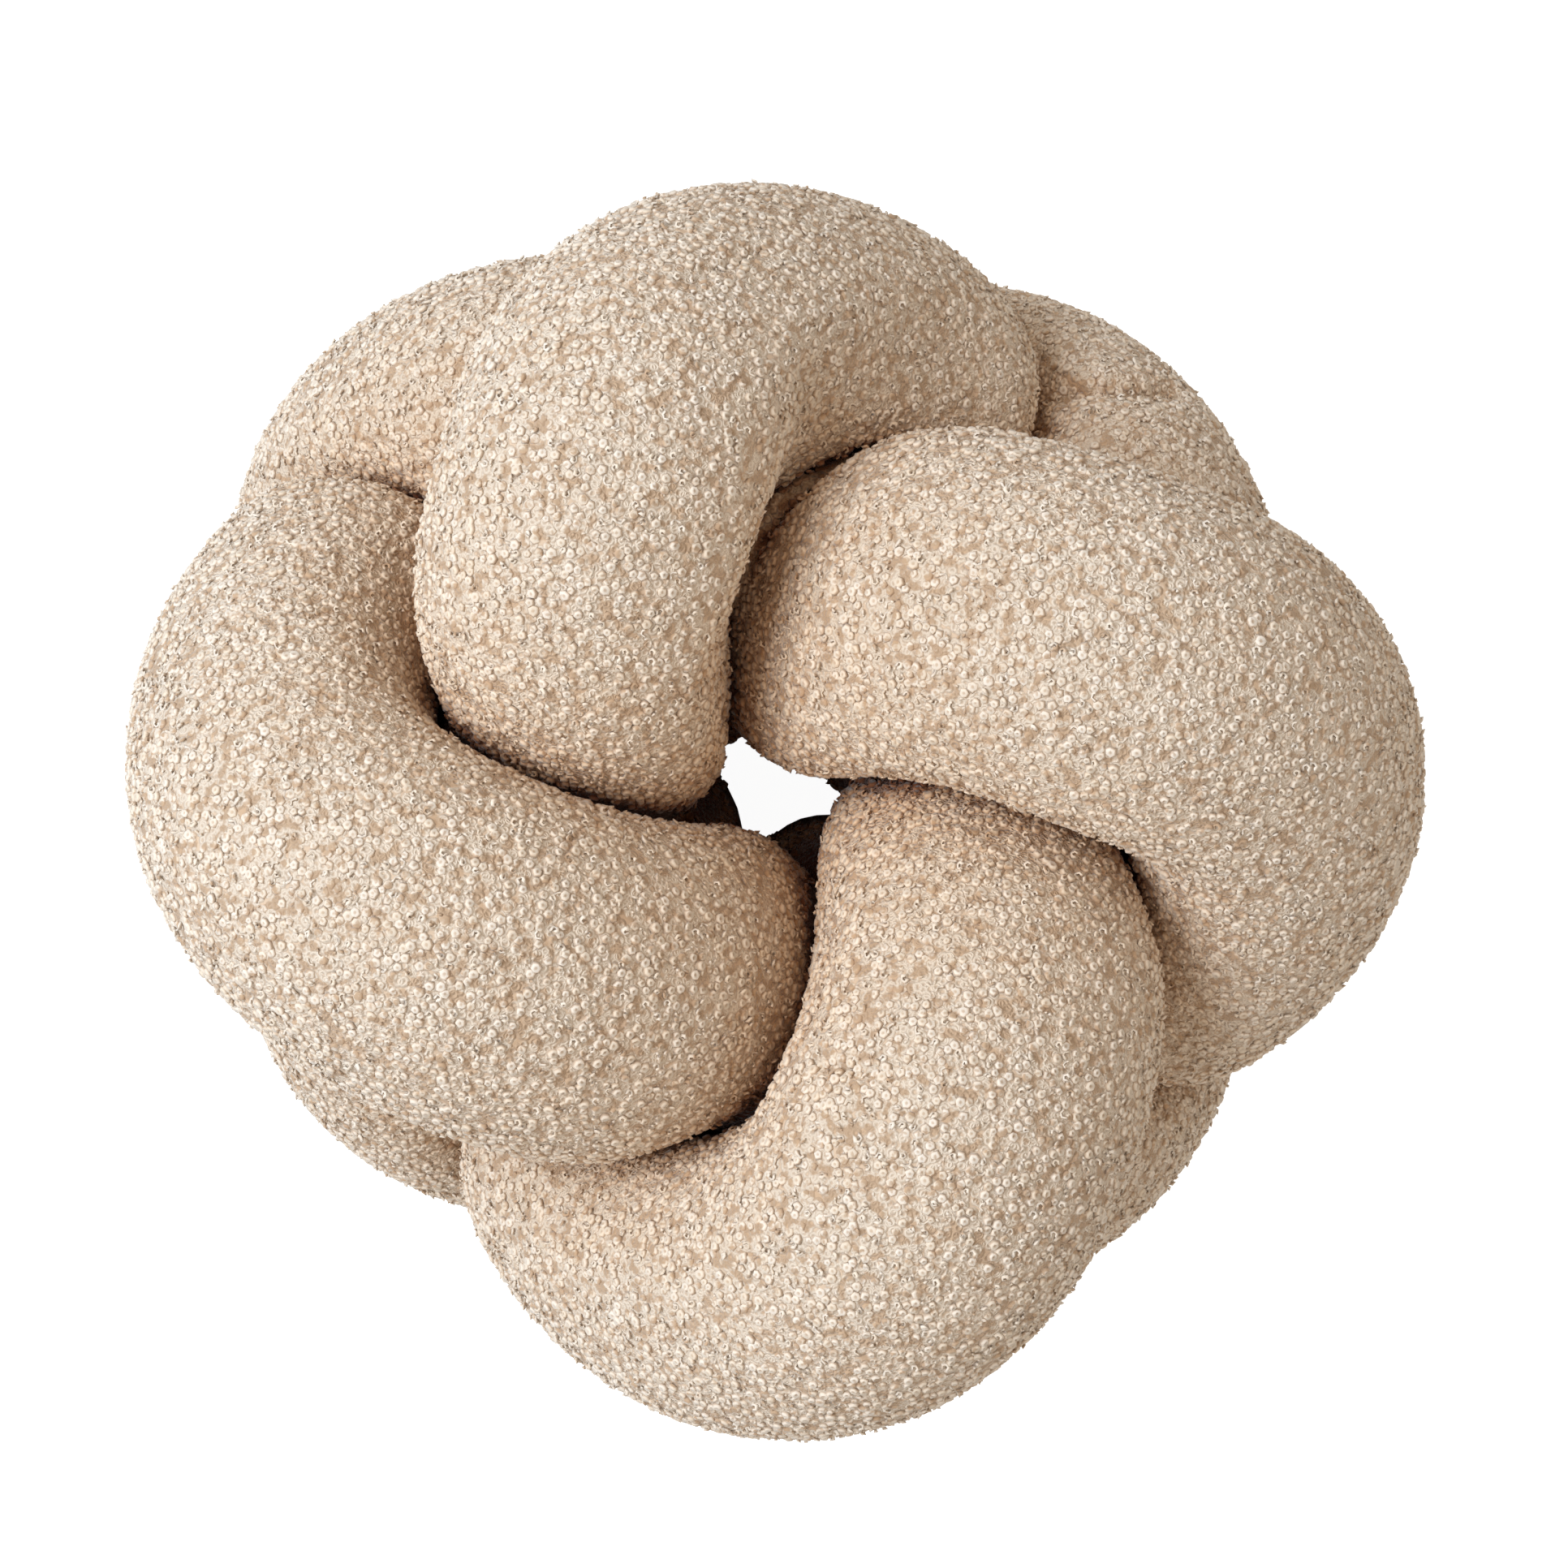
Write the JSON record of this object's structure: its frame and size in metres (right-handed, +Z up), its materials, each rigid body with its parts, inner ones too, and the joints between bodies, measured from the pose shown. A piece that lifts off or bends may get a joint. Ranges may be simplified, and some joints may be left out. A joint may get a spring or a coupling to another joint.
{
  "type": "knot cushion",
  "caption": "Round cushion tied from one long stuffed boucle tube as a Turk's head knot, with a hole through its middle.",
  "frame": {"origin": "under the middle of the cushion, on the floor that it lies on", "axes": "+Z up through the hole in the middle, -Y towards the front, +X to the right, with the top lobes at the back, right, front and left"},
  "size_m": [0.344, 0.3342, 0.2474],
  "materials": {
    "boucle": "matte looped boucle, cream"
  },
  "bodies": {
    "root": {"cushion": "boucle"}
  },
  "joints": []
}
